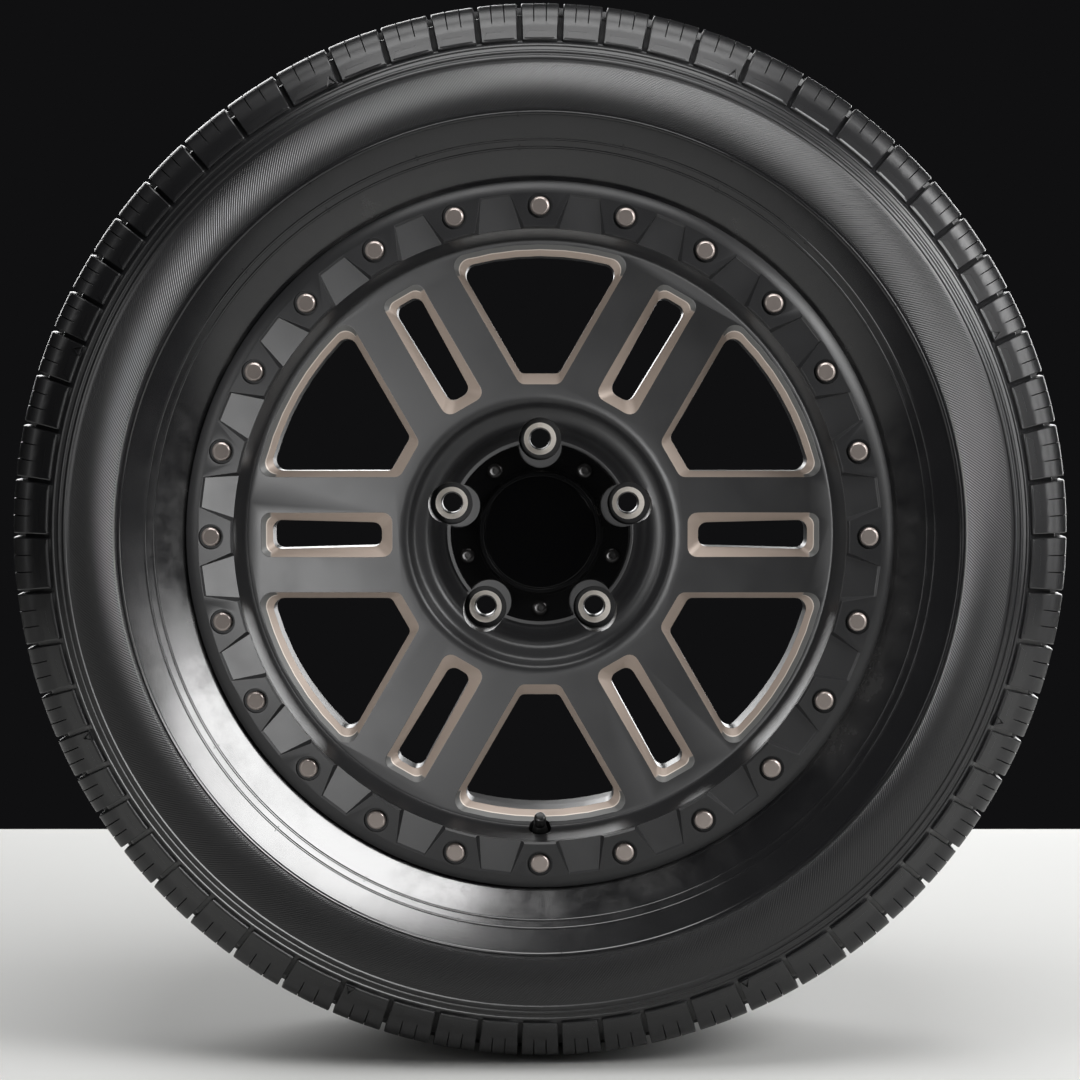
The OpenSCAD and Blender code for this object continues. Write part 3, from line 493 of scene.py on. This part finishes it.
# %% [markdown]
# ## Rounded edges for the CAD parts
# A casting has no sharp edge: the mould, the fettling and the paint leave a small radius,
# and that radius is what catches the light as a thin bright line. Each visible metal or
# plastic part is a copy of its CAD mesh with its flat areas joined again and a Bevel
# modifier over its sharp edges. The CAD node itself is hidden but keeps its job.


# %% Copy a CAD node and round its edges
WELD = 0.02 * MM
FLAT = math.radians(0.6)


def rounded_copy(node_name, name, body, width, joined=True, segments=2, angle=30):
    """A copy of a CAD node with edges rounded by width mm, which stands for the node."""
    work = bmesh.new()
    work.from_mesh(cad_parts[node_name].data)
    bmesh.ops.remove_doubles(work, verts=work.verts, dist=WELD)
    if joined:
        bmesh.ops.dissolve_limit(work, angle_limit=FLAT, verts=work.verts, edges=work.edges)
    mesh = bpy.data.meshes.new(name)
    work.to_mesh(mesh)
    work.free()
    for layer in [a.name for a in mesh.attributes if "normal" in a.name]:
        mesh.attributes.remove(mesh.attributes[layer])
    mesh.materials.clear()
    mesh.shade_smooth()
    mesh.set_sharp_from_angle(angle=math.radians(angle))
    piece = bpy.data.objects.new(name, mesh)
    bpy.context.scene.collection.objects.link(piece)
    rounding = piece.modifiers.new("Rounded edges", "BEVEL")
    rounding.width = width * MM
    rounding.segments = segments
    rounding.limit_method = "ANGLE"
    rounding.angle_limit = math.radians(angle)
    rounding.use_clamp_overlap = True
    rounding.harden_normals = True
    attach(piece, body)
    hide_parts(node_name)
    print(name, len(mesh.polygons), "faces")
    return piece


wheel = rounded_copy("wheel", "wheel_casting", "wheel_body", 0.7)
ring = rounded_copy("trim_ring", "bolted_ring", "wheel_body", 0.5)
bolts = rounded_copy("ring_bolts", "ring_bolt_set", "wheel_body", 0.25)
flange = rounded_copy("cap_flange", "cap_flange_moulding", "wheel_body", 0.3,
                      joined=False)
disc = rounded_copy("cap_disc", "cap_disc_moulding", "wheel_body", 0.4)
screws = rounded_copy("cap_screws", "cap_screw_set", "wheel_body", 0.2)
stem = rounded_copy("valve_rubber", "valve_stem_rubber", "wheel_body", 0.2)
valve_end = rounded_copy("valve_cap", "valve_dust_cap", "valve_cap_body", 0.2)

# %% [markdown]
# ## Rubber
# One rubber shows three finishes, all from the mould. Near the rim it is polished and
# carries the smears of mounting paste, so a lamp draws a broad white streak there. The
# band between the border ribs has a fine slanted hatch, which breaks the light up into a
# soft grey. The blocks come out duller.
# The finishes depend only on the distance from the axis, taken from object coordinates.


# %% Node groups used by the rubber
def axis_radius(tree, place):
    """Distance from the wheel's axis, and the angle round it, as sockets in metres and radians."""
    split = add(tree, "SeparateXYZ", {"Vector": place})
    x, z = split.outputs["X"], split.outputs["Z"]
    flat = add(tree, "CombineXYZ", {"X": x, "Z": z})
    length = add(tree, "VectorMath", {0: flat.outputs[0]}, operation="LENGTH")
    angle = add(tree, "Math", {0: z, 1: x}, operation="ARCTAN2")
    return length.outputs["Value"], angle.outputs[0]


def ramp(tree, value, start, stop, low=0.0, high=1.0):
    """A smooth step between two radii given in mm."""
    step = add(tree, "MapRange", {"Value": value, "From Min": start * MM, "From Max": stop * MM,
                                  "To Min": low, "To Max": high}, interpolation_type="SMOOTHSTEP")
    return step.outputs["Result"]


def calc(tree, operation, a, b):
    """One step of arithmetic between sockets or numbers."""
    return add(tree, "Math", {0: a, 1: b}, operation=operation).outputs[0]


def two_colours(tree, share, first, second):
    """The first colour where the share is 0 and the second where it is 1."""
    return add(tree, "Mix", {0: share, 6: first, 7: second}, data_type="RGBA").outputs[2]


# %% Tyre rubber
HATCH_PITCH = 2.4
HATCH_TURNS = 900
RUBBER_BLACK = "#0f0f10"
SMEAR_FADE, PASTE_FADE, DRESSING_FADE = (330, 276), (304, 274), (330, 318)
BAND_FOOT, BLOCK_FACES = (324, 330), (392, 406)
HATCH_FOOT, HATCH_TOP = (326, 329), (364, 361)
rubber, tree, shader = start_material("moulded_tyre_rubber", RUBBER_BLACK, 0.0, 0.3)
place = add(tree, "TexCoord").outputs["Object"]
radius, angle = axis_radius(tree, place)
smears = add(tree, "TexNoise", {"Vector": place, "Scale": 14.0, "Detail": 8.0, "Roughness": 0.7})
patches = add(tree, "MapRange", {"Value": smears.outputs["Fac"], "From Min": 0.42, "From Max": 0.66})
# From the polished foot of the sidewall over the hatched band to the duller blocks.
smeared = calc(tree, "MULTIPLY", patches.outputs[0], ramp(tree, radius, *SMEAR_FADE, 0.02, 0.16))
gloss = calc(tree, "ADD", calc(tree, "ADD", smeared, 0.15), ramp(tree, radius, *BAND_FOOT, 0.0, 0.14))
tree.links.new(calc(tree, "ADD", gloss, ramp(tree, radius, *BLOCK_FACES, 0.0, 0.08)),
               shader.inputs["Roughness"])
paste = calc(tree, "MULTIPLY", patches.outputs[0], ramp(tree, radius, *PASTE_FADE, 0.0, 0.4))
dust = two_colours(tree, paste, linear(RUBBER_BLACK), linear("#2c2b2a"))
tree.links.new(dust, shader.inputs["Base Color"])
# The dressing that a detailer wipes on reflects more than bare rubber and is thickest low down.
tree.links.new(ramp(tree, radius, *DRESSING_FADE, 0.5, 0.75), shader.inputs["Specular IOR Level"])
turns = calc(tree, "MULTIPLY", angle, float(HATCH_TURNS))
hatch_phase = calc(tree, "ADD", turns, calc(tree, "MULTIPLY", radius, 2 * math.pi / (HATCH_PITCH * MM)))
hatch = calc(tree, "MULTIPLY", calc(tree, "SINE", hatch_phase, 0.0),
             calc(tree, "MULTIPLY", ramp(tree, radius, *HATCH_FOOT), ramp(tree, radius, *HATCH_TOP)))
skin = add(tree, "TexNoise", {"Vector": place, "Scale": 1100.0, "Detail": 2.0})
fine = add(tree, "Bump", {"Height": skin.outputs["Fac"], "Strength": 0.1, "Distance": 0.04 * MM})
bump = add(tree, "Bump", {"Height": hatch, "Strength": 1.0, "Distance": 0.12 * MM,
                          "Normal": fine.outputs["Normal"]})
tree.links.new(bump.outputs["Normal"], shader.inputs["Normal"])
tyre.data.materials.append(rubber)
print("hatch lines round the band", HATCH_TURNS)

# %% [markdown]
# ## Paint, bare metal and plastic
# The casting and the ring are powder-coated: a dark grey satin whose gloss wanders a little
# from place to place. The bevels were machined through the coat and then tinted, so they
# are metal with a warm brown veil. The cone seats of the lug holes stay bare and bright.


# %% One recipe for all of them
def finish_of(name, colour, metallic, roughness, depth, reflectance=0.5):
    """A finish with clouds in its gloss and a fine grain depth mm deep."""
    material, tree, shader = start_material(name, colour, metallic, roughness)
    shader.inputs["Specular IOR Level"].default_value = reflectance
    place = add(tree, "TexCoord").outputs["Object"]
    cloud = add(tree, "TexNoise", {"Vector": place, "Scale": 22.0, "Detail": 5.0, "Roughness": 0.6})
    gloss = add(tree, "MapRange", {"Value": cloud.outputs["Fac"], "From Min": 0.35, "From Max": 0.65,
                                   "To Min": roughness - 0.02, "To Max": roughness + 0.04})
    tree.links.new(gloss.outputs["Result"], shader.inputs["Roughness"])
    grain = add(tree, "TexNoise", {"Vector": place, "Scale": 1500.0, "Detail": 2.0})
    bump = add(tree, "Bump", {"Height": grain.outputs["Fac"], "Strength": 0.25, "Distance": depth * MM})
    tree.links.new(bump.outputs["Normal"], shader.inputs["Normal"])
    return material


BEVEL_TINT = "#94877d"
BARE_METAL = "#e6e0d8"
wheel_paint = finish_of("satin_powder_coat", "#1f1f20", 0.0, 0.33, 0.02, 0.4)
ring_paint = finish_of("satin_ring_coat", "#1c1c1d", 0.0, 0.33, 0.02, 0.4)
tinted = finish_of("tinted_bevel_with_painted_highlight", BEVEL_TINT, 0.3, 0.42, 0.02)
machined = finish_of("machined_cone_seat_with_painted_shade", BARE_METAL, 0.2, 0.4, 0.02)
# Near black and dull: painted shade for the floors of the lug pockets and the bolts' counterbores.
recess_painted_shade = finish_of("lug_pocket_primer", "#0f0f10", 0.0, 0.5, 0.02, 0.2)
zinc = finish_of("plated_bolt_steel", "#b3a8a2", 0.6, 0.3, 0.05)
gloss_plastic = finish_of("gloss_black_plastic", "#09090a", 0.0, 0.12, 0.004, 0.4)
satin_plastic = finish_of("satin_black_plastic", "#0d0d0e", 0.0, 0.24, 0.01, 0.3)
black_steel = finish_of("black_oxide_steel", "#1c1b1b", 0.5, 0.2, 0.02)
stem_rubber = finish_of("valve_stem_rubber", "#131313", 0.0, 0.4, 0.03)
cap_plastic = finish_of("valve_cap_plastic", "#0e0e0e", 0.0, 0.28, 0.02)
brass = finish_of("valve_brass", "#b08d4a", 1.0, 0.35, 0.02)
red_rubber = finish_of("core_gasket_rubber", "#7a2a20", 0.0, 0.6, 0.02)
spring_steel = finish_of("core_spring_steel", "#9a9a9c", 1.0, 0.3, 0.01)
washer_rubber = finish_of("cap_washer_rubber", "#232323", 0.0, 0.6, 0.02)
for piece, finish in ((ring, ring_paint), (bolts, zinc), (flange, satin_plastic), (disc, gloss_plastic),
                      (screws, black_steel), (stem, stem_rubber), (valve_end, cap_plastic)):
    piece.data.materials.append(finish)
for node_name, finish in (("valve_tube", brass), ("core_shell", brass), ("core_gasket", red_rubber),
                          ("core_pin", brass), ("core_spring", spring_steel),
                          ("cap_washer", washer_rubber)):
    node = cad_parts[node_name]
    node.data.materials.clear()
    node.data.materials.append(finish)
print(len(bpy.data.materials), "materials")

# %% [markdown]
# ## Cut surfaces of the casting
# Two finishes change along one cut. On the windows' outer arcs the coat runs over the edge
# and stops at the cutter's path, so a grey strip, a thin bright line and the tinted metal
# lie side by side; the strip is painted lighter than the coat as a painted sheen, and the
# line is a painted highlight. The inner part of a lug seat is painted near black as painted
# shade inside the bore, and the bottoms of the pockets and of the bolts' counterbores are
# painted near black as painted shade.


# %% Strips of the bevel with painted sheen and highlight, and the seat's painted shade
LUGS = 5
LUG_CIRCLE_R = 75
COAT_SHEEN_EDGE, HIGHLIGHT_LINE_EDGE = 96.0, 95.4
OUTER_ARC = (211, 213)
SEAT_SHADE_EDGE = (8.9, 9.2)


def shader_of(material):
    """The material's own Principled shader."""
    return material.node_tree.nodes["Principled BSDF"]


tree = tinted.node_tree
place = add(tree, "TexCoord").outputs["Object"]
radius, angle = axis_radius(tree, place)
depth = calc(tree, "MULTIPLY", add(tree, "SeparateXYZ", {"Vector": place}).outputs["Y"], -1.0)
outer_arc = ramp(tree, radius, *OUTER_ARC)
# The coat's strip is painted lighter than the coat as a painted sheen, and the thin line between it and the
# tint is a painted highlight.
coat_strip_with_painted_sheen = calc(tree, "MULTIPLY", ramp(tree, depth, COAT_SHEEN_EDGE - 0.1, COAT_SHEEN_EDGE + 0.1), outer_arc)
painted_highlight_line = calc(tree, "MULTIPLY", ramp(tree, depth, HIGHLIGHT_LINE_EDGE - 0.1, HIGHLIGHT_LINE_EDGE + 0.1), outer_arc)
bright = two_colours(tree, painted_highlight_line, linear(BEVEL_TINT), linear("#c4b9af"))
strips = two_colours(tree, coat_strip_with_painted_sheen, bright, linear("#5a5a59"))
tree.links.new(strips, shader_of(tinted).inputs["Base Color"])
tree = machined.node_tree
place = add(tree, "TexCoord").outputs["Object"]
radius, angle = axis_radius(tree, place)
turned_by = calc(tree, "SUBTRACT", angle, math.radians(90))
half_sector = math.pi / LUGS
sector = add(tree, "Math", {0: turned_by, 1: half_sector, 2: -half_sector}, operation="WRAP")
along_r = calc(tree, "MULTIPLY", radius, calc(tree, "COSINE", sector.outputs[0], 0.0))
across_r = calc(tree, "MULTIPLY", radius, calc(tree, "SINE", sector.outputs[0], 0.0))
past_lug = calc(tree, "SUBTRACT", along_r, LUG_CIRCLE_R * MM)
from_lug = add(tree, "CombineXYZ", {"X": past_lug, "Y": across_r})
lug_distance = add(tree, "VectorMath", {0: from_lug.outputs[0]}, operation="LENGTH").outputs["Value"]
# Nearer than 9 mm to the lug's centre the seat is painted near black: painted shade inside the bore.
seat_with_painted_shade = two_colours(tree, ramp(tree, lug_distance, *SEAT_SHADE_EDGE), linear("#1b1a19"),
                     linear(BARE_METAL))
tree.links.new(seat_with_painted_shade, shader_of(machined).inputs["Base Color"])

# %% Faces by finish
BOLTS = 24
BOLT_CIRCLE_R = 254
COUNTERBORE_R = 9.85
BEVEL_DEPTHS, BEVEL_RADII, BEVEL_TILTS = (90.8, 99.4), (112, 229), (0.25, 0.95)
SEAT_DEPTHS, SEAT_TILTS, SEAT_R = (34, 43.1), (0.3, 0.95), 13.5
POCKET_DEPTHS, POCKET_R = (42.8, 49.8), 17.4


def between(value, limits):
    """Whether a value lies between two limits."""
    return limits[0] < value < limits[1]


def ring_of(count, radius, first):
    """Places of count holes on a circle, in mm, from a first angle in degrees."""
    turns = [math.radians(first + 360 / count * i) for i in range(count)]
    return [(radius * math.cos(turn), radius * math.sin(turn)) for turn in turns]


for finish in (wheel_paint, tinted, machined, recess_painted_shade):
    wheel.data.materials.append(finish)
lugs = ring_of(LUGS, LUG_CIRCLE_R, 90)
tally = [0, 0, 0, 0]
for polygon in wheel.data.polygons:
    x, y, z = (v / MM for v in polygon.center)
    r, depth, outwards = math.hypot(x, z), -y, -polygon.normal.y
    off_lug = min(math.dist((x, z), lug) for lug in lugs)
    kind = 0
    if between(depth, BEVEL_DEPTHS) and between(r, BEVEL_RADII) and between(outwards, BEVEL_TILTS):
        kind = 1
    elif between(depth, SEAT_DEPTHS) and between(outwards, SEAT_TILTS) and off_lug < SEAT_R:
        kind = 2
    # The floors of the lug pockets take the painted shade.
    elif between(depth, POCKET_DEPTHS) and off_lug < POCKET_R:
        kind = 3
    polygon.material_index = kind
    tally[kind] += 1
print("faces by finish", tally)
# Faces inside the bolt counterbores take the painted shade.
ring.data.materials.append(recess_painted_shade)
bolt_places = ring_of(BOLTS, BOLT_CIRCLE_R, 0)
for polygon in ring.data.polygons:
    corners = [ring.data.vertices[i].co / MM for i in polygon.vertices]
    nearest = min(bolt_places, key=lambda bolt: math.dist(bolt, (corners[0].x, corners[0].z)))
    if max(math.dist(nearest, (corner.x, corner.z)) for corner in corners) < COUNTERBORE_R:
        polygon.material_index = 1
print(sum(p.material_index for p in ring.data.polygons), "faces inside the bolt counterbores")

# %% [markdown]
# ## Camera
# The photo looks straight at the wheel's face from about two metres, a little above the
# axis: the lug holes sit slightly higher in the picture than the ring in front of them.

# %% The photo's viewing angle
PHOTO_PIXELS = 1080
FOCAL_PIXELS = 2420
SENSOR_W = 36
ELEVATION = math.radians(2.8)
DISTANCE = 1.864
aim = Vector((0, -0.136, -0.0023))
camera_data = bpy.data.cameras.new("photo_camera")
camera_data.sensor_width = SENSOR_W
camera_data.lens = SENSOR_W * FOCAL_PIXELS / PHOTO_PIXELS
camera = bpy.data.objects.new("photo_camera", camera_data)
bpy.context.scene.collection.objects.link(camera)
camera.location = aim + Vector((0, -math.cos(ELEVATION), math.sin(ELEVATION))) * DISTANCE
camera.rotation_euler = (aim - camera.location).to_track_quat("-Z", "Y").to_euler()
bpy.context.scene.camera = camera
print("lens", round(camera_data.lens, 1), "mm")

# %% [markdown]
# ## Floor and light
# The wheel and the tyre are lit as two subjects, which is how the photo shows them: a large
# softbox low on the left for the paint, and one high on the right for the rubber, whose
# foot returns it as the white streak. The other lamps light everything, two of them from behind.

# %% Floor, lamps and surroundings
FLOOR_HALF_W, FLOOR_FRONT, FLOOR_BACK = 2.2, -1.5, 1.0


def area(name, place, target, size, power):
    """A white rectangular softbox at a place, turned to a target."""
    lamp_data = bpy.data.lights.new(name, "AREA")
    lamp_data.shape = "RECTANGLE"
    lamp_data.size, lamp_data.size_y = size
    lamp_data.energy = power
    lamp = bpy.data.objects.new(name, lamp_data)
    bpy.context.scene.collection.objects.link(lamp)
    lamp.location = place
    lamp.visible_camera = False
    lamp.rotation_euler = (Vector(target) - Vector(place)).to_track_quat("-Z", "Y").to_euler()
    return lamp


floor_mesh = bpy.data.meshes.new("studio_floor")
floor_z = cad_low.z
corners = [(-FLOOR_HALF_W, FLOOR_FRONT), (FLOOR_HALF_W, FLOOR_FRONT), (FLOOR_HALF_W, FLOOR_BACK),
           (-FLOOR_HALF_W, FLOOR_BACK)]
floor_mesh.from_pydata([(x, y, floor_z) for x, y in corners], [], [(0, 1, 2, 3)])
floor = bpy.data.objects.new("studio_floor", floor_mesh)
bpy.context.scene.collection.objects.link(floor)
floor_paint, _, _ = start_material("matt_studio_floor", "#d2d2d0", 0.0, 0.9)
floor_mesh.materials.append(floor_paint)
wheel_light = area("wheel_softbox", (-0.68, -2.0, -0.28), (-0.1, 0, 0), (0.8, 0.9), 36)
tyre_light = area("tyre_softbox", (0.64, -1.7, 0.64), (-0.15, 0, -0.15), (0.9, 0.9), 40)
area("right_softbox", (1.5, -1.0, 1.0), (0, 0, 0), (0.7, 0.7), 18)
area("left_softbox", (-1.7, -1.2, 0.4), (0, 0, 0), (0.5, 1.1), 5)
area("right_strip", (1.9, -0.6, 0.5), (0, 0, 0), (0.5, 1.4), 10)
area("top_softbox", (0, -0.6, 2.1), (0, 0, 0.1), (2.0, 1.0), 36)
area("back_softbox", (-1.0, 2.8, 1.2), (0, 0, 0), (1.8, 1.8), 65)
area("back_fill", (1.1, 2.3, 0.4), (0, 0, 0), (1.4, 1.4), 35)
for lamp, lit in ((tyre_light, [tyre]),
                  (wheel_light, [wheel, ring, screws, stem, valve_end])):
    group = bpy.data.collections.new(lamp.name + "_subjects")
    for piece in lit:
        group.objects.link(piece)
    lamp.light_linking.receiver_collection = group
world = bpy.data.worlds.new("studio")
bpy.context.scene.world = world
world.use_nodes = True
world.node_tree.nodes["Background"].inputs["Color"].default_value = linear("#101011")
world.node_tree.nodes["Background"].inputs["Strength"].default_value = 1.0
bpy.context.scene.view_settings.view_transform = "Standard"
